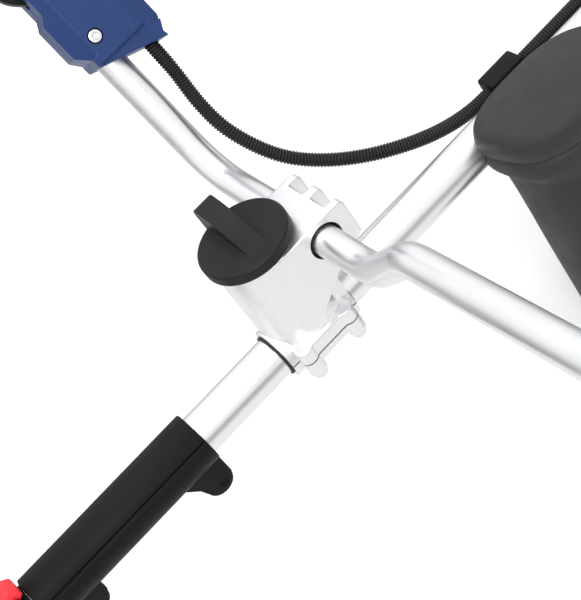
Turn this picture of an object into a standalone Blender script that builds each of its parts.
"""String trimmer with a bicycle handlebar, a split shaft, a bevel gear head and a rear battery motor.

Frame of the parts: +X runs forward along the shaft to the cutting head, +Y is the user's left and +Z is
up.  The origin of that frame is the handlebar's axis in the middle of its bracket.  An empty carries the
whole machine so that it lies on z = 0 with the middle of its bounding box above the world origin.
Lengths are metres, angles are degrees unless they go straight into a matrix.
"""

import math

import bmesh
import bpy
from mathutils import Matrix, Vector

# ---------------------------------------------------------------- driving dimensions
GAP = 0.0003                     # clearance between touching pieces

SHAFT_Z = -0.0581                # shaft axis below the handlebar axis
SHAFT_R = 0.0140
SHAFT_WALL = 0.0016
SHAFT_REAR_X = -0.372
SHAFT_SPLIT_X = 0.200            # where the two tubes meet inside the coupling
SHAFT_FRONT_X = 1.000

DRIVE_R = 0.0040
BUSH_LENGTH = 0.026
BUSH_X = (-0.150, 0.640)

BAR_R = 0.0098
BAR_WALL = 0.0018
BAR_NEAR_BEND_Y = 0.073
BAR_NEAR_KNEE = Vector((0.002, 0.141, 0.0575))
BAR_NEAR_DIR = Vector((0.041, 0.982, 0.184)).normalized()
BAR_NEAR_LENGTH = 0.285
LEFT_GRIP_LENGTH = 0.1100
BAR_FAR_BEND_Y = -0.099
BAR_FAR_TILT = 30.6              # far arm leans this far outward from vertical
BAR_FAR_LENGTH = 0.292
BEND_R = 0.045

SLEEVE_REAR_X = 0.131
SLEEVE_FRONT_X = 0.268
SLEEVE_R = 0.01825

BRACKET_HALF_Y = 0.0244
BRACKET_TOP_Z = 0.0150
BRACKET_REAR_X = -0.0216
BAR_HOLE_R = 0.0123
BRACKET_FRONT_X = 0.0618
BRACKET_UNDER_Z = -0.0170         # underside of the block that holds the handlebar
BARREL_R = 0.0268
CLAMP_REAR_X = 0.0060            # the clamp round the shaft runs from here to the bracket's front
CLAMP_R = 0.0187
CLAMP_BOLT_X = (0.0165, 0.0510)
CLAMP_BOLT_Y = 0.0225
CLAMP_BOSS_R = 0.0062
SPLIT_GAP = 0.0005               # half the gap between the bracket and its cap
KNOB_X = 0.0333
KNOB_Y = -0.0030
KNOB_R = 0.0302
KNOB_BOTTOM_Z = 0.0180
KNOB_TOP_Z = 0.0257

HOUSING_START = 0.083            # control housing along the far arm, from the bend
HOUSING_END = 0.168
HOUSING_HALF_DEPTH = 0.0240
TRIGGER_PIVOT = (0.0128, HOUSING_END - 0.0100)     # x and z in the far arm's frame
LOCK_OFF_PIVOT = (-0.0245, HOUSING_END - 0.0080)
PEG_R = 0.0012
HOUSING_SCREW = (0.0, 0.1135)                       # x and z in the far arm's frame
CONDUIT_EXIT = (-0.0245, 0.0100, HOUSING_START + 0.0040)
GRIP_R = 0.0165
CONDUIT_R = 0.0048
CONDUIT_Y = -0.0258              # where the conduit runs beside the shaft
PAD_X = -0.1700                  # middle of the hip pad along the shaft

GEAR_X = 1.046                   # where the shaft axis meets the output axis
OUTPUT_LEAN = 35.0               # output axis leans this far forward of straight down
CONE = 0.0280                    # outer cone distance of the bevel gears
FACE = 0.0100                    # their face width along the cone
PINION_TEETH = 13
GEAR_TEETH = 17
SHAFT_ANGLE = math.radians(90.0 - OUTPUT_LEAN)
PINION_CONE = math.atan2(math.sin(SHAFT_ANGLE), GEAR_TEETH / PINION_TEETH + math.cos(SHAFT_ANGLE))
GEAR_CONE = SHAFT_ANGLE - PINION_CONE
CONE_CLEARANCE = 0.0004
HEAD_R = 0.055
GUARD_R = 0.190
GUARD_SKIRT = 0.062              # rim of the guard below the gear centre, along the output axis
GUARD_HALF_ANGLE = 62.0
GUARD_WALL = 0.0030

MOTOR_X = (-0.470, -0.416)
BODY_REAR_X = -0.535
BODY_FRONT_X = -0.352
BODY_HALF_Y = 0.058
BODY_TOP_Z = 0.004
BODY_WALL = 0.0032

LEAN = math.radians(OUTPUT_LEAN)
FLOOR_Z = SHAFT_Z - GUARD_R * math.sin(LEAN) - GUARD_SKIRT * math.cos(LEAN)
BASE_HEIGHT = 0.022
BODY_BOTTOM_Z = FLOOR_Z + BASE_HEIGHT

X_AXIS = Vector((1, 0, 0))
Y_AXIS = Vector((0, 1, 0))
Z_AXIS = Vector((0, 0, 1))


# ---------------------------------------------------------------- scene, collections, materials
for old in list(bpy.data.objects):
    bpy.data.objects.remove(old, do_unlink=True)

PARTS = bpy.data.collections.new("string_trimmer")
CUTTERS = bpy.data.collections.new("cutters")
bpy.context.scene.collection.children.link(PARTS)
bpy.context.scene.collection.children.link(CUTTERS)

FINISHES = {
    "aluminium_tube": ((0.80, 0.81, 0.82), 0.28, 1.0),
    "cast_aluminium": ((0.84, 0.85, 0.86), 0.42, 0.9),
    "steel": ((0.62, 0.63, 0.65), 0.30, 1.0),
    "bright_screw": ((0.78, 0.78, 0.80), 0.25, 1.0),
    "black_plastic": ((0.020, 0.020, 0.021), 0.50, 0.0),
    "pad_plastic": ((0.022, 0.022, 0.024), 0.38, 0.0),
    "grip_rubber": ((0.016, 0.016, 0.017), 0.75, 0.0),
    "blue_plastic": ((0.024, 0.073, 0.235), 0.36, 0.0),
    "red_plastic": ((0.78, 0.014, 0.022), 0.32, 0.0),
    "conduit": ((0.018, 0.018, 0.019), 0.45, 0.0),
    "copper": ((0.72, 0.36, 0.20), 0.35, 1.0),
    "board": ((0.03, 0.20, 0.08), 0.50, 0.0),
    "nylon_line": ((0.80, 0.22, 0.04), 0.40, 0.0),
}


def finish(kind, node):
    """A material of its own for each node, from the named finishes."""
    colour, roughness, metallic = FINISHES[kind]
    material = bpy.data.materials.new(kind + "." + node)
    material.use_nodes = True
    shader = material.node_tree.nodes["Principled BSDF"]
    shader.inputs["Base Color"].default_value = (*colour, 1.0)
    shader.inputs["Roughness"].default_value = roughness
    shader.inputs["Metallic"].default_value = metallic
    material.diffuse_color = (*colour, 1.0)
    return material


def empty(name, parent=None, location=(0, 0, 0), rotation=(0, 0, 0)):
    frame = bpy.data.objects.new(name, None)
    PARTS.objects.link(frame)
    frame.parent = parent
    frame.location = location
    frame.rotation_euler = [math.radians(angle) for angle in rotation]
    return frame


TRIMMER = empty("trimmer_frame")
BAR_TILT = empty("bar_tilt_axis", TRIMMER)
FAR_ARM = empty("far_arm_frame", BAR_TILT, (0, BAR_FAR_BEND_Y, 0), (BAR_FAR_TILT, 0, 0))
GEAR_HEAD = empty("gear_head_frame", TRIMMER, (GEAR_X, 0, SHAFT_Z), (0, -OUTPUT_LEAN, 0))
SHAFT_LINE = empty("shaft_axis", TRIMMER, (0, 0, SHAFT_Z))


# ---------------------------------------------------------------- modelling helpers
def place(name, mesh, location=(0, 0, 0), axis=Z_AXIS, parent=None):
    """Link a mesh as an object whose local +Z points along the given axis."""
    thing = bpy.data.objects.new(name, mesh)
    PARTS.objects.link(thing)
    thing.parent = parent or TRIMMER
    thing.location = location
    thing.rotation_mode = "QUATERNION"
    thing.rotation_quaternion = Z_AXIS.rotation_difference(Vector(axis))
    return thing


def dress(thing, kind, smooth=True):
    """Give an object its material and, if it is round, smooth shading with sharp edges kept."""
    thing.data.materials.clear()
    thing.data.materials.append(finish(kind, thing.name))
    if smooth:
        thing.data.shade_smooth()
        thing.data.set_sharp_from_angle(angle=math.radians(40))
    return thing


def mesh_from(build):
    """Run a bmesh builder and return its mesh."""
    bm = bmesh.new()
    build(bm)
    mesh = bpy.data.meshes.new("mesh")
    bm.to_mesh(mesh)
    bm.free()
    return mesh


def box(name, low, high, parent=None, bevel=0.0, segments=2):
    """An upright box between two corners, with rounded edges if a bevel is given."""
    low, high = Vector(low), Vector(high)
    size = high - low

    def build(bm):
        bmesh.ops.create_cube(bm, size=1.0)
        bmesh.ops.scale(bm, vec=size, verts=bm.verts)

    thing = place(name, mesh_from(build), (low + high) / 2, Z_AXIS, parent)
    if bevel:
        soften(thing, bevel, segments)
    return thing


def soften(thing, width, segments=2, angle=30):
    rounding = thing.modifiers.new("rounding", "BEVEL")
    rounding.width = width
    rounding.segments = segments
    rounding.limit_method = "ANGLE"
    rounding.angle_limit = math.radians(angle)
    return thing


def cylinder(name, radius, start, end, parent=None, steps=24, radius_end=None):
    """A solid cylinder or cone between two points."""
    start, end = Vector(start), Vector(end)
    depth = (end - start).length

    def build(bm):
        bmesh.ops.create_cone(bm, cap_ends=True, segments=steps, radius1=radius,
                              radius2=radius if radius_end is None else radius_end, depth=depth)

    return place(name, mesh_from(build), (start + end) / 2, end - start, parent)


def turned(name, profile, location, axis, parent=None, steps=24, angle=360.0, wall=0.0):
    """Revolve (radius, height) points, listed top to bottom on the outer side, about the local +Z."""
    mesh = bpy.data.meshes.new(name + "_profile")
    points = [(radius, 0.0, height) for radius, height in profile]
    open_profile = wall > 0 or (profile[0][0] == 0 and profile[-1][0] == 0)
    edges = [(i, i + 1) for i in range(len(points) - 1)]
    if not open_profile:
        edges.append((len(points) - 1, 0))
    mesh.from_pydata(points, edges, [])
    thing = place(name, mesh, location, axis, parent)
    screw = thing.modifiers.new("turn", "SCREW")
    screw.angle = math.radians(angle)
    screw.steps = steps
    screw.render_steps = steps
    screw.use_merge_vertices = angle == 360.0
    screw.merge_threshold = 0.00002
    screw.use_normal_calculate = False
    if wall:
        shell = thing.modifiers.new("wall", "SOLIDIFY")
        shell.thickness = wall
        shell.offset = -1.0
        shell.use_even_offset = True
    return thing


def ring(name, outer, inner, start, end, parent=None, steps=24, axis=X_AXIS, centre=(0, 0)):
    """A plain bush: a tube along X (or the given axis) between two stations."""
    profile = [(outer, end), (outer, start), (inner, start), (inner, end)]
    if axis == X_AXIS:
        location = (0, centre[0], centre[1])
    elif axis == Y_AXIS:
        location = (centre[0], 0, centre[1])
    else:
        location = (centre[0], centre[1], 0)
    return turned(name, profile, location, axis, parent, steps)


def real_mesh(thing):
    """Freeze an object's modifiers or curve into a welded mesh."""
    graph = bpy.context.evaluated_depsgraph_get()
    mesh = bpy.data.meshes.new_from_object(thing.evaluated_get(graph))
    bm = bmesh.new()
    bm.from_mesh(mesh)
    bmesh.ops.remove_doubles(bm, verts=bm.verts, dist=0.00002)
    bm.to_mesh(mesh)
    bm.free()
    return mesh


def prism(name, outline, low, high, parent=None, plane="XZ", bevel=0.0, segments=2):
    """Fill a flat outline and give it thickness: plane XZ is extruded in Y, XY in Z and YZ in X."""
    curve = bpy.data.curves.new(name + "_outline", "CURVE")
    curve.dimensions = "2D"
    curve.fill_mode = "BOTH"
    curve.extrude = (high - low) / 2
    spline = curve.splines.new("POLY")
    spline.points.add(len(outline) - 1)
    for point, (u, v) in zip(spline.points, outline):
        point.co = (u, v, 0, 1)
    spline.use_cyclic_u = True
    sketch = bpy.data.objects.new(name + "_sketch", curve)
    PARTS.objects.link(sketch)
    mesh = real_mesh(sketch)
    bpy.data.objects.remove(sketch)
    middle = (high + low) / 2
    turn = {"XY": Matrix.Identity(4),
            "XZ": Matrix.Rotation(math.radians(90), 4, "X"),
            "YZ": Matrix(((0, 0, 1, 0), (1, 0, 0, 0), (0, 1, 0, 0), (0, 0, 0, 1)))}[plane]
    mesh.transform(turn)
    location = {"XY": (0, 0, middle), "XZ": (0, middle, 0), "YZ": (middle, 0, 0)}[plane]
    thing = place(name, mesh, location, Z_AXIS, parent)
    if bevel:
        soften(thing, bevel, segments)
    return thing


def swept(name, points, radius, parent=None, wall=0.0, sides=3):
    """A round bar through the points, or a tube open at both ends if a wall is given."""
    curve = bpy.data.curves.new(name + "_path", "CURVE")
    curve.dimensions = "3D"
    curve.bevel_depth = radius
    curve.bevel_resolution = sides
    curve.use_fill_caps = not wall
    spline = curve.splines.new("POLY")
    spline.points.add(len(points) - 1)
    for point, co in zip(spline.points, points):
        point.co = (*co, 1)
    path = bpy.data.objects.new(name + "_path", curve)
    PARTS.objects.link(path)
    mesh = real_mesh(path)
    bpy.data.objects.remove(path)
    thing = place(name, mesh, (0, 0, 0), Z_AXIS, parent)
    if wall:
        shell = thing.modifiers.new("wall", "SOLIDIFY")
        shell.thickness = wall
        shell.offset = -1.0
    return thing


def rounded_route(corners, radius, turn_steps=5):
    """Corner points joined by straight runs and arcs of the given radius."""
    corners = [Vector(corner) for corner in corners]
    route = [corners[0]]
    for before, corner, after in zip(corners, corners[1:], corners[2:]):
        back = (before - corner).normalized()
        ahead = (after - corner).normalized()
        half = back.angle(ahead) / 2
        reach = radius / math.tan(half)
        centre = corner + (back + ahead).normalized() * (radius / math.sin(half))
        first = corner + back * reach - centre
        last = corner + ahead * reach - centre
        for step in range(turn_steps + 1):
            share = step / turn_steps
            route.append(centre + first.normalized().slerp(last.normalized(), share) * radius)
    route.append(corners[-1])
    return route


def smooth_route(knots, per_span=4):
    """A Catmull-Rom curve through the knots."""
    knots = [Vector(knot) for knot in knots]
    ends = [2 * knots[0] - knots[1]] + knots + [2 * knots[-1] - knots[-2]]
    route = []
    for a, b, c, d in zip(ends, ends[1:], ends[2:], ends[3:]):
        for step in range(per_span):
            t = step / per_span
            route.append(0.5 * (2 * b + (c - a) * t + (2 * a - 5 * b + 4 * c - d) * t ** 2
                                + (3 * b - a - 3 * c + d) * t ** 3))
    route.append(knots[-1])
    return route


def as_cutter(thing):
    """Take a shape out of the parts: it only cuts or joins another."""
    for collection in list(thing.users_collection):
        collection.objects.unlink(thing)
    CUTTERS.objects.link(thing)
    thing.hide_render = True
    thing.display_type = "WIRE"
    return thing


def combine(target, operation, tools):
    for tool in tools:
        as_cutter(tool)
        boolean = target.modifiers.new(operation.lower(), "BOOLEAN")
        boolean.operation = operation
        boolean.solver = "EXACT"
        boolean.object = tool
    return target


def cut(target, *tools):
    return combine(target, "DIFFERENCE", tools)


def join(target, *tools):
    return combine(target, "UNION", tools)


def keep(target, *tools):
    return combine(target, "INTERSECT", tools)


def arc(centre, radius, start, end, steps=6):
    """Points on an arc in a flat outline, angles in degrees."""
    cu, cv = centre
    points = []
    for step in range(steps + 1):
        angle = math.radians(start + (end - start) * step / steps)
        points.append((cu + radius * math.cos(angle), cv + radius * math.sin(angle)))
    return points


def loft(name, sections, parent=None, around=24, power=2.6):
    """A closed body through level superellipse sections (z, x centre, y centre, half x, half y)."""
    def build(bm):
        rings = []
        for z, cx, cy, hx, hy in sections:
            level = []
            for step in range(around):
                angle = 2 * math.pi * step / around
                c, s = math.cos(angle), math.sin(angle)
                x = cx + hx * math.copysign(abs(c) ** (2 / power), c)
                y = cy + hy * math.copysign(abs(s) ** (2 / power), s)
                level.append(bm.verts.new((x, y, z)))
            rings.append(level)
        for low, high in zip(rings, rings[1:]):
            for step in range(around):
                after = (step + 1) % around
                bm.faces.new((low[step], low[after], high[after], high[step]))
        bm.faces.new(reversed(rings[0]))
        bm.faces.new(rings[-1])
        bmesh.ops.recalc_face_normals(bm, faces=bm.faces)

    return place(name, mesh_from(build), (0, 0, 0), Z_AXIS, parent)


def screw(name, head_r, head_h, shank_r, length, location, axis, parent=None, kind="bright_screw"):
    """A cap screw: the head's underside is at the location and the shank runs along -axis."""
    profile = [(0, head_h), (head_r, head_h), (head_r, 0),
               (shank_r, 0), (shank_r, -length), (0, -length)]
    thing = turned(name, profile, location, axis, parent, steps=10)
    socket = cylinder(name + "_socket", head_r * 0.50, (0, 0, head_h * 0.45), (0, 0, head_h * 1.5),
                      thing, steps=6)
    cut(thing, socket)
    return dress(thing, kind)


# ---------------------------------------------------------------- shaft and drive line
def build_shaft():
    inner = SHAFT_R - SHAFT_WALL
    rear = ring("rear_shaft_tube", SHAFT_R, inner, SHAFT_REAR_X, SHAFT_SPLIT_X, SHAFT_LINE, 32)
    front = ring("front_shaft_tube", SHAFT_R, inner, SHAFT_SPLIT_X + 0.001, SHAFT_FRONT_X,
                 SHAFT_LINE, 32)
    dress(rear, "aluminium_tube")
    dress(front, "aluminium_tube")
    for index, x in enumerate(BUSH_X, start=1):
        bush = ring("shaft_bush_%d" % index, inner - GAP, DRIVE_R + GAP, x - BUSH_LENGTH / 2,
                    x + BUSH_LENGTH / 2, SHAFT_LINE, 20)
        dress(bush, "grip_rubber")


def build_drive_line():
    joint_x = SHAFT_SPLIT_X + 0.0005
    rear = cylinder("rear_drive_shaft", DRIVE_R, (-0.492, 0, 0), (joint_x, 0, 0), SHAFT_LINE, 12)
    socket = cylinder("drive_socket", 0.0085, (joint_x - 0.028, 0, 0), (joint_x + 0.028, 0, 0),
                      SHAFT_LINE, 16)
    join(rear, socket)
    cut(rear, cylinder("socket_bore", DRIVE_R + GAP, (joint_x, 0, 0), (joint_x + 0.05, 0, 0),
                       SHAFT_LINE, 12))
    front = cylinder("front_drive_shaft", DRIVE_R, (joint_x + GAP, 0, 0),
                     (SHAFT_FRONT_X + 0.014, 0, 0), SHAFT_LINE, 12)
    dress(rear, "steel")
    dress(front, "steel")


# ---------------------------------------------------------------- shaft coupling
def lug(name, x_low, x_high, drop):
    """A rounded ear that hangs under the coupling sleeve."""
    middle = (x_low + x_high) / 2
    reach = (x_high - x_low) / 2
    tip = SHAFT_Z - drop
    outline = [(x_low, SHAFT_Z - 0.012), (x_low + 0.001, tip + reach * 0.75)]
    outline += arc((middle, tip + reach * 0.75), reach * 0.92, 190, 350, 7)
    outline += [(x_high, SHAFT_Z - 0.012)]
    return prism(name, outline, 0.0004, 0.0056, plane="XZ")


def build_coupling():
    mid = (SLEEVE_REAR_X + SLEEVE_FRONT_X) / 2
    sleeve = cylinder("coupling_sleeve", SLEEVE_R, (SLEEVE_REAR_X, 0, SHAFT_Z),
                      (SLEEVE_FRONT_X, 0, SHAFT_Z), steps=36)
    join(sleeve, lug("rear_lug", SLEEVE_REAR_X, SLEEVE_REAR_X + 0.026, 0.0455),
         lug("front_lug", SLEEVE_FRONT_X - 0.036, SLEEVE_FRONT_X - 0.006, 0.0400),
         box("flat_band", (mid - 0.060, 0.0080, SHAFT_Z - 0.019), (mid + 0.060, 0.0160, SHAFT_Z - 0.004)))
    cut(sleeve, cylinder("shaft_hole", SHAFT_R + GAP, (SLEEVE_REAR_X - 0.01, 0, SHAFT_Z),
                         (SLEEVE_FRONT_X + 0.01, 0, SHAFT_Z), steps=32),
        cylinder("lug_hole", 0.0026, (SLEEVE_REAR_X + 0.0085, -0.01, SHAFT_Z - 0.0385),
                 (SLEEVE_REAR_X + 0.0085, 0.02, SHAFT_Z - 0.0385), steps=14))
    dress(sleeve, "black_plastic")

    hinge = Vector((SLEEVE_FRONT_X + 0.0075, 0, SHAFT_Z + SHAFT_R + 0.0048))
    lever_frame = empty("lever_axis", TRIMMER, hinge)
    outline = [(-0.0020, -0.0026), (0.0240, -0.0020), (0.0262, 0.0012), (0.0040, 0.0098),
               (-0.0020, 0.0102), (-0.0068, 0.0060), (-0.0068, 0.0022)]
    lever = prism("coupling_lever", outline, -0.0070, 0.0070, lever_frame, "XZ", 0.0010)
    cut(lever, cylinder("lever_bore", 0.0016 + GAP / 2, (0, -0.02, 0), (0, 0.02, 0), lever_frame, 14))
    dress(lever, "red_plastic")
    base = ring("lever_collar", SHAFT_R + 0.0018, SHAFT_R + GAP, SLEEVE_FRONT_X + 0.0006,
                SLEEVE_FRONT_X + 0.0150, SHAFT_LINE, 32)
    ears = [box("lever_ear_%d" % side, (SLEEVE_FRONT_X + 0.0025, min(side * 0.0075, side * 0.0105),
                                        SHAFT_R - 0.0010),
                (SLEEVE_FRONT_X + 0.0125, max(side * 0.0075, side * 0.0105), SHAFT_R + 0.0085),
                SHAFT_LINE) for side in (-1, 1)]
    pin = cylinder("catch_pin", 0.0016, (hinge.x, -0.0090, hinge.z - SHAFT_Z),
                   (hinge.x, 0.0090, hinge.z - SHAFT_Z), SHAFT_LINE, 14)
    join(base, *ears, pin)
    dress(base, "black_plastic")


# ---------------------------------------------------------------- handlebar bracket
def clamp_lugs(prefix, low, high, plate_low):
    """The bosses for the four clamp bolts, joined by a flange along each side of the clamp."""
    lugs = []
    for number, (x, side) in enumerate(clamp_bolts()):
        y = side * CLAMP_BOLT_Y
        lugs.append(cylinder("%s_boss_%d" % (prefix, number), CLAMP_BOSS_R, (x, y, low), (x, y, high),
                             steps=16))
    for side in (-1, 1):
        inner, outer = sorted((side * 0.0120, side * (CLAMP_BOLT_Y + 0.0040)))
        lugs.append(box("%s_flange_%d" % (prefix, side), (CLAMP_BOLT_X[0] - 0.0055, inner, plate_low),
                        (CLAMP_BOLT_X[1] + 0.0055, outer, high - 0.0003)))
    return lugs


def clamp_bolts():
    return [(x, side) for x in CLAMP_BOLT_X for side in (-1, 1)]


def build_bracket():
    split = SHAFT_Z
    outline = [(BRACKET_REAR_X, BRACKET_TOP_Z), (BRACKET_REAR_X, -0.0140), (-0.0156, BRACKET_UNDER_Z),
               (0.0050, -0.0250), (0.0300, -0.0400), (0.0300, BRACKET_TOP_Z)]
    body = prism("bracket_body", outline, -BRACKET_HALF_Y, BRACKET_HALF_Y, None, "XZ")
    barrel = cylinder("barrel", BARREL_R, (KNOB_X, KNOB_Y, split + 0.002),
                      (KNOB_X, KNOB_Y, KNOB_BOTTOM_Z - 0.0008), steps=32)
    web = box("web", (CLAMP_REAR_X, -0.0165, split + 0.004), (0.0400, 0.0165, -0.0200))
    saddle = cylinder("saddle", CLAMP_R, (CLAMP_REAR_X, 0, split), (BRACKET_FRONT_X, 0, split), steps=36)
    join(body, barrel, web, saddle)
    join(body, *clamp_lugs("body", split + SPLIT_GAP, split + 0.0100, split + SPLIT_GAP + 0.0003))
    cut(body, box("below_split", (-0.1, -0.1, split - 0.1), (0.2, 0.1, split + SPLIT_GAP)))
    cut(body, cylinder("bar_hole", BAR_HOLE_R, (0, -0.06, 0), (0, 0.06, 0), steps=32),
        cylinder("shaft_hole_b", SHAFT_R + 0.0018, (-0.1, 0, split), (0.2, 0, split), steps=36),
        cylinder("stud_hole", 0.0043, (KNOB_X, KNOB_Y, -0.0300), (KNOB_X, KNOB_Y, 0.03), steps=20))
    for number, side in enumerate((-1, 1)):
        pocket = [(BRACKET_REAR_X - 0.01, 0.0), (-0.0155, 0.0), (-0.0090, 0.0260),
                  (BRACKET_REAR_X - 0.01, 0.0260)]
        cut(body, prism("fin_pocket_%d" % number, pocket, side * 0.0111 - 0.0078,
                        side * 0.0111 + 0.0078, None, "XZ"))
    for number, (x, side) in enumerate(clamp_bolts()):
        cut(body, cylinder("thread_%d" % number, 0.0022, (x, side * CLAMP_BOLT_Y, split - 0.01),
                           (x, side * CLAMP_BOLT_Y, split + 0.0085), steps=12))
    dress(body, "cast_aluminium")

    cap = cylinder("bracket_cap", CLAMP_R, (CLAMP_REAR_X, 0, split), (BRACKET_FRONT_X, 0, split), steps=36)
    join(cap, *clamp_lugs("cap", split - 0.0120, split - SPLIT_GAP, split - 0.0060))
    cut(cap, box("above_split", (-0.1, -0.1, split - SPLIT_GAP), (0.2, 0.1, split + 0.1)),
        cylinder("shaft_hole_c", SHAFT_R + 0.0018, (-0.1, 0, split), (0.2, 0, split), steps=36))
    for number, (x, side) in enumerate(clamp_bolts()):
        y = side * CLAMP_BOLT_Y
        cut(cap, cylinder("clear_%d" % number, 0.0028, (x, y, split - 0.03), (x, y, split + 0.01),
                          steps=12))
        screw("clamp_screw_%d" % (number + 1), 0.0045, 0.0045, 0.0019, 0.0180,
              (x, y, split - 0.0123), (0, 0, -1))
    dress(cap, "cast_aluminium")

    liner = ring("bracket_liner", SHAFT_R + 0.0015, SHAFT_R + GAP, CLAMP_REAR_X - 0.0008,
                 BRACKET_FRONT_X + 0.0016, SHAFT_LINE, 32)
    dress(liner, "grip_rubber")
    bush = ring("bar_bush", BAR_HOLE_R - GAP, BAR_R + GAP, -BRACKET_HALF_Y, BRACKET_HALF_Y,
                TRIMMER, 32, Y_AXIS)
    dress(bush, "black_plastic")


def build_knob():
    axis_frame = empty("knob_axis", TRIMMER, (KNOB_X, KNOB_Y, 0))
    rim = KNOB_R
    profile = [(0, KNOB_TOP_Z), (rim - 0.0022, KNOB_TOP_Z), (rim - 0.0006, KNOB_TOP_Z - 0.0008),
               (rim, KNOB_TOP_Z - 0.0024), (rim, KNOB_BOTTOM_Z + 0.0012), (rim - 0.0012, KNOB_BOTTOM_Z),
               (0, KNOB_BOTTOM_Z)]
    knob = turned("clamp_knob", profile, (0, 0, 0), Z_AXIS, axis_frame, 36)
    far, near, high = -0.0345, 0.0265, KNOB_TOP_Z + 0.0205
    outline = [(far, KNOB_BOTTOM_Z + 0.0020), (far - 0.0006, high - 0.0060), (far + 0.0040, high),
               (far + 0.0150, high - 0.0012), (far + 0.0300, high - 0.0060),
               (far + 0.0450, high - 0.0140), (near, KNOB_TOP_Z + 0.0002),
               (near, KNOB_BOTTOM_Z + 0.0020)]
    wing = prism("wing", outline, -0.0072, 0.0072, axis_frame, "YZ", 0.0018)
    join(knob, wing)
    cut(knob, cylinder("knob_bore", 0.0040 + GAP, (0, 0, KNOB_BOTTOM_Z - 0.01),
                       (0, 0, KNOB_BOTTOM_Z + 0.0100), axis_frame, 20))
    dress(knob, "black_plastic")
    stud = cylinder("knob_stud", 0.0040, (0, 0, -0.0290), (0, 0, KNOB_BOTTOM_Z + 0.0095), axis_frame, 20)
    dress(stud, "steel")


# ---------------------------------------------------------------- handlebar and controls
def bar_corners():
    far_dir = Vector((0, -math.sin(math.radians(BAR_FAR_TILT)), math.cos(math.radians(BAR_FAR_TILT))))
    far_bend = Vector((0, BAR_FAR_BEND_Y, 0))
    near_bend = Vector((0, BAR_NEAR_BEND_Y, 0))
    return [far_bend + far_dir * BAR_FAR_LENGTH, far_bend, near_bend, BAR_NEAR_KNEE,
            BAR_NEAR_KNEE + BAR_NEAR_DIR * BAR_NEAR_LENGTH]


def build_handlebar():
    bar = swept("handlebar", rounded_route(bar_corners(), BEND_R, 4), BAR_R, BAR_TILT, BAR_WALL, 4)
    x, z = HOUSING_SCREW
    cut(bar, cylinder("bolt_way", 0.0022, (x, -0.02, z), (x, 0.02, z), FAR_ARM, 12))
    dress(bar, "aluminium_tube")

    start = BAR_NEAR_KNEE + BAR_NEAR_DIR * (BAR_NEAR_LENGTH - LEFT_GRIP_LENGTH)
    end, bottom = LEFT_GRIP_LENGTH + 0.0045, LEFT_GRIP_LENGTH + 0.0005
    profile = [(0, end), (GRIP_R - 0.0030, end), (GRIP_R, end - 0.0025), (GRIP_R, 0.0040),
               (0.0195, 0.0035), (0.0195, 0.0005), (0.0180, 0), (BAR_R + GAP, 0),
               (BAR_R + GAP, bottom), (0, bottom)]
    left = turned("left_grip", profile, start, BAR_NEAR_DIR, BAR_TILT, 28)
    dress(left, "grip_rubber")

    low = HOUSING_END + GAP
    profile = [(0, 0.2970), (0.0140, 0.2970), (GRIP_R, 0.2945), (GRIP_R, low + 0.004),
               (GRIP_R - 0.0005, low), (BAR_R + GAP, low), (BAR_R + GAP, 0.2925), (0, 0.2925)]
    right = turned("right_grip", profile, (0, 0, 0), Z_AXIS, FAR_ARM, 28)
    dress(right, "grip_rubber")


def housing_outline():
    """Side view of the control housing in the far arm's own X and Z."""
    start, end = HOUSING_START, HOUSING_END
    return [(0.0166, start + 0.0162), (0.0166, start + 0.0213), (0.0230, start + 0.0295),
            (0.0230, end - 0.0295), (0.0184, end - 0.0235), (0.0184, end), (-0.0270, end),
            (-0.0400, end - 0.0280), (-0.0400, start + 0.0140), (-0.0342, start + 0.0040),
            (-0.0350, start)]


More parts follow.
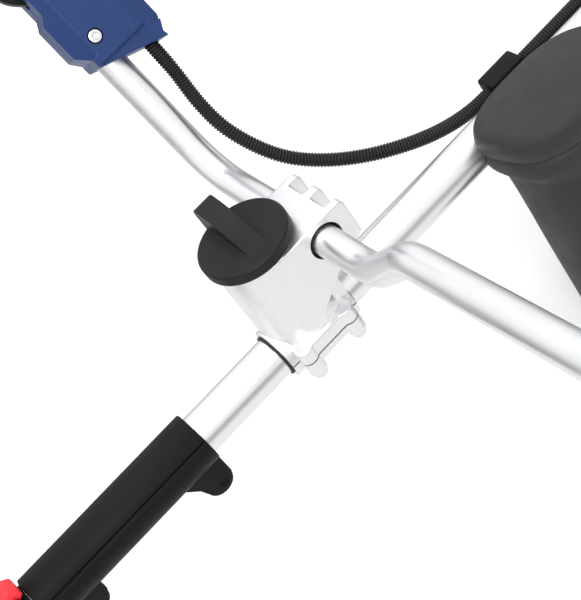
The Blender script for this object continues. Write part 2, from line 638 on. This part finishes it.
def build_control_housing():
    """Two blue shells that meet on the plane through the bar's axis, screwed together across it."""
    x, z = HOUSING_SCREW
    shells = {}
    for side, name in ((1, "control_housing_near"), (-1, "control_housing_far")):
        low, high = sorted((side * GAP / 2, side * HOUSING_HALF_DEPTH))
        shell = prism(name, housing_outline(), low, high, FAR_ARM, "XZ")
        hollow_low, hollow_high = sorted((0, side * (HOUSING_HALF_DEPTH - 0.0025)))
        hollow = prism(name + "_hollow", [(-0.0375, HOUSING_START + 0.0200),
                                          (-0.0180, HOUSING_START + 0.0200),
                                          (-0.0180, HOUSING_END - 0.0040),
                                          (-0.0235, HOUSING_END - 0.0040),
                                          (-0.0375, HOUSING_END - 0.0290)],
                       hollow_low - 0.001 * (side > 0), hollow_high + 0.001 * (side < 0), FAR_ARM, "XZ")
        lever_slot = box(name + "_slot", (0.0104, -0.0052, HOUSING_END - 0.0150),
                         (0.0300, 0.0052, HOUSING_END + 0.01), FAR_ARM)
        lock_slot = box(name + "_lock_slot", (-0.0300, -0.0052, HOUSING_END - 0.0150),
                        (-0.0190, 0.0052, HOUSING_END + 0.01), FAR_ARM)
        cut(shell, cylinder(name + "_bar", BAR_R + GAP, (0, 0, 0), (0, 0, 0.4), FAR_ARM, 28), hollow,
            lever_slot, lock_slot)
        shells[side] = shell
    cut(shells[-1], box("button_way", (-0.0300 - GAP, -0.03, HOUSING_START + 0.0300 - GAP),
                        (-0.0180 + GAP, -0.0160, HOUSING_START + 0.0440 + GAP), FAR_ARM))
    for number, (pivot, reach) in enumerate(((TRIGGER_PIVOT, 0.0080), (LOCK_OFF_PIVOT, 0.0230))):
        join(shells[-1], cylinder("peg_%d" % number, PEG_R, (pivot[0], -reach, pivot[1]),
                                  (pivot[0], 0.0050, pivot[1]), FAR_ARM, 12))
    exit_x, exit_y, exit_z = CONDUIT_EXIT
    conduit_hole = cylinder("conduit_hole", 0.0057, (exit_x, exit_y, exit_z - 0.02),
                            (exit_x, exit_y, exit_z + 0.0020), FAR_ARM, 16)
    cut(shells[1], conduit_hole)
    cut(shells[1], cylinder("screw_way", 0.0046, (x, 0.0200, z), (x, 0.03, z), FAR_ARM, 16),
        cylinder("screw_bore", 0.0019, (x, -0.01, z), (x, 0.025, z), FAR_ARM, 12))
    cut(shells[-1], cylinder("screw_thread", 0.0019, (x, -0.0160, z), (x, 0.01, z), FAR_ARM, 12))
    screw("housing_screw", 0.0043, 0.0036, 0.0016, 0.0300, (x, 0.0203, z), (0, 1, 0), FAR_ARM)
    for shell in shells.values():
        dress(shell, "blue_plastic")


def build_controls():
    """Trigger, lock-off lever, power button and switch, in the control housing."""
    trigger_frame = empty("trigger_axis", FAR_ARM, (TRIGGER_PIVOT[0], 0, TRIGGER_PIVOT[1]))
    outline = [(-0.0022, -0.0022), (0.0022, -0.0022), (0.0107, 0.0080), (0.0142, 0.0230),
               (0.0207, 0.0470), (0.0192, 0.0710), (0.0132, 0.0740), (0.0107, 0.0710),
               (0.0127, 0.0490), (0.0084, 0.0260), (0.0067, 0.0130), (-0.0022, 0.0022)]
    trigger = prism("throttle_trigger", outline, -0.0048, 0.0048, trigger_frame, "XZ")
    cut(trigger, cylinder("trigger_bore", PEG_R + GAP / 2, (0, -0.01, 0), (0, 0.01, 0),
                          trigger_frame, 12))
    dress(trigger, "black_plastic", smooth=False)

    lock_frame = empty("lock_off_axis", FAR_ARM, (LOCK_OFF_PIVOT[0], 0, LOCK_OFF_PIVOT[1]))
    outline = [(-0.0022, -0.0022), (0.0022, -0.0022), (0.0030, 0.0100), (0.0045, 0.0300),
               (0.0035, 0.0620), (-0.0010, 0.0660), (-0.0050, 0.0560), (-0.0050, 0.0240),
               (-0.0030, 0.0090)]
    lock = prism("lock_off_lever", outline, -0.0048, 0.0048, lock_frame, "XZ")
    cut(lock, cylinder("lock_off_bore", PEG_R + GAP / 2, (0, -0.01, 0), (0, 0.01, 0), lock_frame, 12))
    dress(lock, "black_plastic", smooth=False)

    button = box("power_button", (-0.0300, -HOUSING_HALF_DEPTH - 0.0022, HOUSING_START + 0.0300),
                 (-0.0180, -HOUSING_HALF_DEPTH + 0.0050, HOUSING_START + 0.0440), FAR_ARM, 0.0008, 2)
    dress(button, "red_plastic")
    switch = box("trigger_switch", (-0.0360, -0.0100, HOUSING_START + 0.0240),
                 (-0.0195, 0.0080, HOUSING_START + 0.0480), FAR_ARM)
    dress(switch, "black_plastic", smooth=False)


# ---------------------------------------------------------------- conduit, clip and hip pad
def conduit_knots():
    """The conduit's own route: out of the control housing, over the bracket and along the shaft."""
    exit_point = Vector(CONDUIT_EXIT)
    lean = Matrix.Rotation(math.radians(BAR_FAR_TILT), 4, "X")
    start = Vector((0, BAR_FAR_BEND_Y, 0)) + lean @ exit_point
    return [start, (-0.0245, -0.127, 0.058), (-0.0210, -0.110, 0.038), (-0.0210, -0.094, 0.022),
            (-0.0270, -0.077, 0.005), (-0.0370, -0.063, -0.009), (-0.0530, -0.049, -0.021),
            (-0.0730, -0.038, -0.032), (-0.0960, -0.030, -0.042), (-0.1180, -0.0265, -0.0505),
            (-0.1400, CONDUIT_Y, -0.0565), (-0.1620, CONDUIT_Y, SHAFT_Z), (-0.2100, CONDUIT_Y, SHAFT_Z),
            (-0.3000, CONDUIT_Y, SHAFT_Z), (BODY_FRONT_X + 0.0004, CONDUIT_Y, SHAFT_Z)]


def build_conduit():
    conduit = swept("control_conduit", smooth_route(conduit_knots(), 3), CONDUIT_R, TRIMMER, sides=2)
    dress(conduit, "conduit")
    clip = box("conduit_clip", (-0.1900, CONDUIT_Y - 0.0085, SHAFT_Z - 0.0085),
               (-0.1600, -0.0182, SHAFT_Z + 0.0085), None, 0.0012, 2)
    cut(clip, cylinder("clip_way", CONDUIT_R + 2 * GAP, (-0.2, CONDUIT_Y, SHAFT_Z),
                       (-0.15, CONDUIT_Y, SHAFT_Z), steps=20))
    dress(clip, "black_plastic")


def build_hip_pad():
    """A moulded pad on the user's side of the shaft: the shaft runs through its top."""
    x = PAD_X
    sections = [(-0.2050, x, 0.050, 0.0510, 0.0430), (-0.2000, x, 0.050, 0.0530, 0.0460),
                (-0.1500, x, 0.044, 0.0525, 0.0460), (-0.1000, x, 0.037, 0.0520, 0.0450),
                (-0.0720, x, 0.031, 0.0520, 0.0460), (-0.0610, x, 0.0295, 0.0525, 0.0465),
                (-0.0570, x, 0.0290, 0.0550, 0.0465), (-0.0430, x, 0.0290, 0.0545, 0.0460),
                (-0.0350, x, 0.0330, 0.0510, 0.0400), (-0.0290, x, 0.0350, 0.0460, 0.0330),
                (-0.0250, x, 0.0360, 0.0300, 0.0200), (-0.0240, x, 0.0360, 0.0120, 0.0080)]
    hollow = [(-0.2150, x, 0.050, 0.0480, 0.0400), (-0.1500, x, 0.044, 0.0490, 0.0425),
              (-0.1100, x, 0.038, 0.0485, 0.0415), (-0.1000, x, 0.037, 0.0380, 0.0310)]
    pad = loft("hip_pad", sections, around=20)
    cut(pad, loft("pad_hollow", hollow, around=20))
    cut(pad, cylinder("pad_shaft_way", SHAFT_R + GAP, (-0.30, 0, SHAFT_Z), (-0.05, 0, SHAFT_Z), steps=32))
    screw_at = Vector((PAD_X + 0.0200, 0.0, -0.0850))
    cut(pad, cylinder("pad_recess", 0.0075, screw_at + Vector((0, 0.0700, 0)),
                      screw_at + Vector((0, 0.1000, 0)), steps=20),
        cylinder("pad_screw_way", 0.0026, screw_at + Vector((0, 0.0440, 0)),
                 screw_at + Vector((0, 0.0800, 0)), steps=12))
    dress(pad, "pad_plastic")
    screw("hip_pad_screw", 0.0048, 0.0045, 0.0023, 0.0240, screw_at + Vector((0, 0.0703, 0)), (0, 1, 0))


# ---------------------------------------------------------------- gear head, guard and line head

def frustum(pitch_angle):
    """Outer and inner (radius, distance from the apex) of one bevel gear, eased off for clearance."""
    reach = [CONE, CONE - FACE]
    ease = CONE_CLEARANCE / 2
    return [(r * math.sin(pitch_angle) - ease * math.cos(pitch_angle),
             r * math.cos(pitch_angle) + ease * math.sin(pitch_angle)) for r in reach]


def build_gear_head():
    case = cylinder("gear_case", 0.0235, (0, 0, -0.0150), (0, 0, 0.0300), GEAR_HEAD, 36)
    neck = cylinder("neck", 0.0190, (GEAR_X - 0.072, 0, SHAFT_Z), (GEAR_X, 0, SHAFT_Z), steps=32,
                    radius_end=0.0225)
    flange = cylinder("flange", 0.0330, (0, 0, -0.0210), (0, 0, -0.0150 + 0.0005), GEAR_HEAD, 36)
    clamp = box("clamp_lug", (GEAR_X - 0.068, -0.0065, SHAFT_Z + 0.012),
                (GEAR_X - 0.050, 0.0065, SHAFT_Z + 0.0295))
    join(case, neck, flange, clamp)
    cut(case, cylinder("gear_room", 0.0180, (0, 0, -0.03), (0, 0, 0.0270), GEAR_HEAD, 32),
        cylinder("tube_socket", SHAFT_R + GAP, (GEAR_X - 0.09, 0, SHAFT_Z),
                 (SHAFT_FRONT_X + GAP, 0, SHAFT_Z), steps=32),
        cylinder("pinion_room", 0.0125, (SHAFT_FRONT_X - 0.01, 0, SHAFT_Z), (GEAR_X - 0.006, 0, SHAFT_Z),
                 steps=28),
        cylinder("clamp_bore", 0.0026, (GEAR_X - 0.059, -0.02, SHAFT_Z + 0.0245),
                 (GEAR_X - 0.059, 0.02, SHAFT_Z + 0.0245), steps=14))
    for number, side in enumerate((-1, 1), start=1):
        place_x, place_y = -0.0205, side * 0.0190
        cut(case, cylinder("guard_thread_%d" % number, 0.0021, (place_x, place_y, -0.03),
                           (place_x, place_y, -0.0155), GEAR_HEAD, 12))
    dress(case, "cast_aluminium")
    screw("gear_case_screw", 0.0044, 0.0045, 0.0023, 0.0150, (GEAR_X - 0.059, 0.0068, SHAFT_Z + 0.0245),
          (0, 1, 0))

    bearing = ring("input_bearing", 0.0122, DRIVE_R + GAP, SHAFT_FRONT_X + 0.0010, SHAFT_FRONT_X + 0.0090,
                   SHAFT_LINE, 24)
    dress(bearing, "steel")
    (r1, d1), (r2, d2) = frustum(PINION_CONE)
    pinion = turned("input_pinion", [(0, d1 + 0.0055), (0.0070, d1 + 0.0055), (0.0070, d1), (r1, d1),
                                     (r2, d2), (0, d2)], (GEAR_X - SHAFT_LINE.location.x, 0, 0),
                    (-1, 0, 0), SHAFT_LINE, 13)
    dress(pinion, "steel")
    (r1, d1), (r2, d2) = frustum(GEAR_CONE)
    bore = 0.0050 + GAP
    gear = turned("output_gear", [(0.0090, d1 + 0.0020), (0.0090, d1), (r1, d1), (r2, d2),
                                  (bore, d2), (bore, d1 + 0.0020)], (0, 0, 0), Z_AXIS, GEAR_HEAD, 17)
    dress(gear, "steel")
    spindle = turned("output_spindle", [(0, 0.0262), (0.0050, 0.0262), (0.0050, -0.0250),
                                        (0.0190, -0.0262), (0.0190, -0.0350), (0.0050, -0.0352),
                                        (0.0050, -0.0550), (0, -0.0550)], (0, 0, 0), Z_AXIS, GEAR_HEAD, 24)
    dress(spindle, "steel")
    seal = ring("output_bearing", 0.0177, 0.0050 + GAP, -0.0170, -0.0050, GEAR_HEAD, 28, Z_AXIS)
    dress(seal, "steel")


def build_guard():
    plate_z = -0.0210 - GAP
    profile = [(0.0212, plate_z), (0.1150, plate_z - 0.0020), (0.1650, plate_z - 0.0070),
               (0.1800, plate_z - 0.0150), (GUARD_R, -GUARD_SKIRT)]
    guard = turned("guard", profile, (0, 0, 0), Z_AXIS, GEAR_HEAD, 24, GUARD_HALF_ANGLE * 2, GUARD_WALL)
    rear_facing = Matrix.Rotation(math.radians(180 - GUARD_HALF_ANGLE), 3, "Z")
    guard.rotation_quaternion = rear_facing.to_quaternion()
    dress(guard, "black_plastic")
    for number, side in enumerate((-1, 1), start=1):
        place_x, place_y = -0.0205, side * 0.0190
        hole = cylinder("guard_hole_%d" % number, 0.0026, (place_x, place_y, -0.04),
                        (place_x, place_y, -0.01), GEAR_HEAD, 12)
        cut(guard, hole)
        screw("guard_screw_%d" % number, 0.0040, 0.0032, 0.0018, 0.0080,
              (place_x, place_y, plate_z - GUARD_WALL - 0.0004), (0, 0, -1), GEAR_HEAD, "steel")
    edge = empty("cutter_frame", GEAR_HEAD, (0, 0, 0), (0, 0, GUARD_HALF_ANGLE - 3.0))
    blade = box("line_cutter", (-0.1812, -0.0008, -GUARD_SKIRT + 0.0015),
                (-0.1675, 0.0008, -GUARD_SKIRT + 0.0120), edge)
    dress(blade, "steel", smooth=False)


def build_line_head():
    top, cover = -0.0355, -0.0800
    cup = turned("head_housing", [(0.0053, top), (0.0420, top), (0.0530, top - 0.0060),
                                  (HEAD_R, top - 0.0160), (HEAD_R, cover), (0.0515, cover),
                                  (0.0515, top - 0.0160),
                                  (0.0500, top - 0.0080), (0.0400, top - 0.0035), (0.0053, top - 0.0035)],
                 (0, 0, 0), Z_AXIS, GEAR_HEAD, 28)
    for number, side in enumerate((-1, 1), start=1):
        cut(cup, cylinder("eyelet_%d" % number, 0.0018, (0, side * 0.045, -0.0620),
                          (0, side * 0.06, -0.0620), GEAR_HEAD, 12))
        line = cylinder("cutting_line_%d" % number, 0.0012, (0, side * 0.0478, -0.0620),
                        (0, side * 0.1640, -0.0620), GEAR_HEAD, 10)
        dress(line, "nylon_line")
    dress(cup, "black_plastic")
    lid = turned("head_cover", [(0.0290, cover - GAP), (HEAD_R, cover - GAP), (HEAD_R, cover - 0.0040),
                                (0.0520, cover - 0.0060), (0.0290, cover - 0.0060)],
                 (0, 0, 0), Z_AXIS, GEAR_HEAD, 28)
    dress(lid, "black_plastic")
    spool = turned("line_spool", [(0, -0.0610), (0.0125, -0.0610), (0.0125, -0.0460), (0.0430, -0.0460),
                                  (0.0470, -0.0478), (0.0470, -0.0488), (0.0180, -0.0500), (0.0180, -0.0730),
                                  (0.0470, -0.0740), (0.0470, -0.0765), (0, -0.0765)],
                   (0, 0, 0), Z_AXIS, GEAR_HEAD, 20)
    dress(spool, "black_plastic")
    knob = turned("bump_knob", [(0, -0.0768), (0.0270, -0.0768), (0.0278, -0.1000), (0.0240, -0.1090),
                                (0.0120, -0.1130), (0, -0.1135)], (0, 0, 0), Z_AXIS, GEAR_HEAD, 24)
    dress(knob, "black_plastic")
    turns, height, corners = 2.5, 0.0200, 8
    coil = []
    for step in range(int(turns * corners) + 1):
        angle = 2 * math.pi * step / corners
        coil.append((0.0092 * math.cos(angle), 0.0092 * math.sin(angle),
                     -0.0398 - height * step / (turns * corners)))
    spring = swept("spool_spring", coil, 0.0007, GEAR_HEAD, sides=1)
    dress(spring, "steel")


# ---------------------------------------------------------------- battery motor at the rear
def body_outline(inset, nose=0.0):
    front, rear = BODY_FRONT_X - inset - nose, BODY_REAR_X + inset
    low, high = BODY_BOTTOM_Z + inset, BODY_TOP_Z - inset
    return [(front, SHAFT_Z + 0.0300 - inset), (front, SHAFT_Z - 0.0330 + inset),
            (front - 0.0450, SHAFT_Z - 0.0800 + inset), (front - 0.0500, low), (rear + 0.0150, low),
            (rear, low + 0.0150), (rear, high - 0.0300), (rear + 0.0300, high), (front - 0.0500, high)]


def build_power_head():
    battery_low = BODY_BOTTOM_Z + 0.0100
    battery_high = battery_low + 0.0720
    for side, name in ((1, "motor_housing_left"), (-1, "motor_housing_right")):
        shell = prism(name, body_outline(0.0), -BODY_HALF_Y, BODY_HALF_Y, None, "XZ", 0.0080, 2)
        half_low, half_high = sorted((side * GAP / 2, side * 0.1))
        keep(shell, box(name + "_side", (-0.7, half_low, -0.4), (-0.2, half_high, 0.2)))
        room = prism(name + "_room", body_outline(BODY_WALL, 0.0200), -BODY_HALF_Y + BODY_WALL,
                     BODY_HALF_Y - BODY_WALL, None, "XZ")
        cut(shell, room,
            cylinder(name + "_bore", SHAFT_R + GAP, (-0.42, 0, SHAFT_Z), (-0.3, 0, SHAFT_Z), steps=32),
            box(name + "_bay", (BODY_REAR_X - 0.02, -0.0372, battery_low - 0.0008),
                (BODY_REAR_X + 0.02, 0.0372, battery_high + 0.0008)))
        vents = []
        for row in range(5):
            x = MOTOR_X[0] + 0.004 + row * 0.0120
            low, high = sorted((side * 0.030, side * 0.08))
            vents.append(box("%s_vent_%d" % (name, row), (x, low, SHAFT_Z - 0.0220),
                             (x + 0.0060, high, SHAFT_Z + 0.0220)))
        cut(shell, *vents)
        dress(shell, "blue_plastic")

    stator = ring("motor_stator", 0.0410, 0.0270, MOTOR_X[0], MOTOR_X[1], SHAFT_LINE, 32)
    rotor = ring("motor_rotor", 0.0260, DRIVE_R + GAP, MOTOR_X[0] - 0.002, MOTOR_X[1] + 0.002,
                 SHAFT_LINE, 28)
    dress(stator, "copper")
    dress(rotor, "steel")
    fan = ring("cooling_fan", 0.0150, DRIVE_R + GAP, MOTOR_X[1] + 0.0040, MOTOR_X[1] + 0.0140,
               SHAFT_LINE, 24)
    for blade in range(6):
        spoke = box("fan_blade_%d" % blade, (MOTOR_X[1] + 0.0045, -0.0010, 0.0120),
                    (MOTOR_X[1] + 0.0135, 0.0010, 0.0350), SHAFT_LINE)
        spoke.location = Matrix.Rotation(2 * math.pi * blade / 6, 3, "X") @ spoke.location
        spoke.rotation_quaternion = Matrix.Rotation(2 * math.pi * blade / 6, 3, "X").to_quaternion()
        join(fan, spoke)
    dress(fan, "black_plastic")
    board = box("motor_controller", (-0.4700, -0.0400, battery_high + 0.0020),
                (-0.4000, 0.0400, battery_high + 0.0055))
    dress(board, "board", smooth=False)
    foot = box("base_foot", (BODY_REAR_X + 0.0180, -0.0500, FLOOR_Z),
               (BODY_FRONT_X - 0.0560, 0.0500, BODY_BOTTOM_Z - GAP), None, 0.0030, 2)
    dress(foot, "grip_rubber", smooth=False)

    battery = box("battery_pack", (BODY_REAR_X - 0.0500, -0.0365, battery_low),
                  (BODY_REAR_X + 0.0750, 0.0365, battery_high), None, 0.0040, 2)
    latch_z = battery_high - 0.0200
    cut(battery, box("latch_room", (BODY_REAR_X - 0.06, -0.0103, latch_z - 0.0063),
                     (BODY_REAR_X - 0.0400, 0.0103, latch_z + 0.0063)))
    dress(battery, "black_plastic")
    latch = box("battery_latch", (BODY_REAR_X - 0.0530, -0.0100, latch_z - 0.0060),
                (BODY_REAR_X - 0.0440, 0.0100, latch_z + 0.0060), None, 0.0010, 2)
    dress(latch, "red_plastic")


def stand_on_origin():
    """Move the whole machine so that the bottom centre of its bounding box is the world origin."""
    graph = bpy.context.evaluated_depsgraph_get()
    corners = []
    for thing in PARTS.objects:
        if thing.type == "MESH":
            solid = thing.evaluated_get(graph)
            corners += [solid.matrix_world @ vertex.co for vertex in solid.data.vertices]
    low = [min(corner[axis] for corner in corners) for axis in range(3)]
    high = [max(corner[axis] for corner in corners) for axis in range(3)]
    TRIMMER.location = (-(low[0] + high[0]) / 2, -(low[1] + high[1]) / 2, -low[2])


build_shaft()
build_drive_line()
build_coupling()
build_bracket()
build_knob()
build_handlebar()
build_control_housing()
build_controls()
build_conduit()
build_hip_pad()
build_gear_head()
build_guard()
build_line_head()
build_power_head()
stand_on_origin()
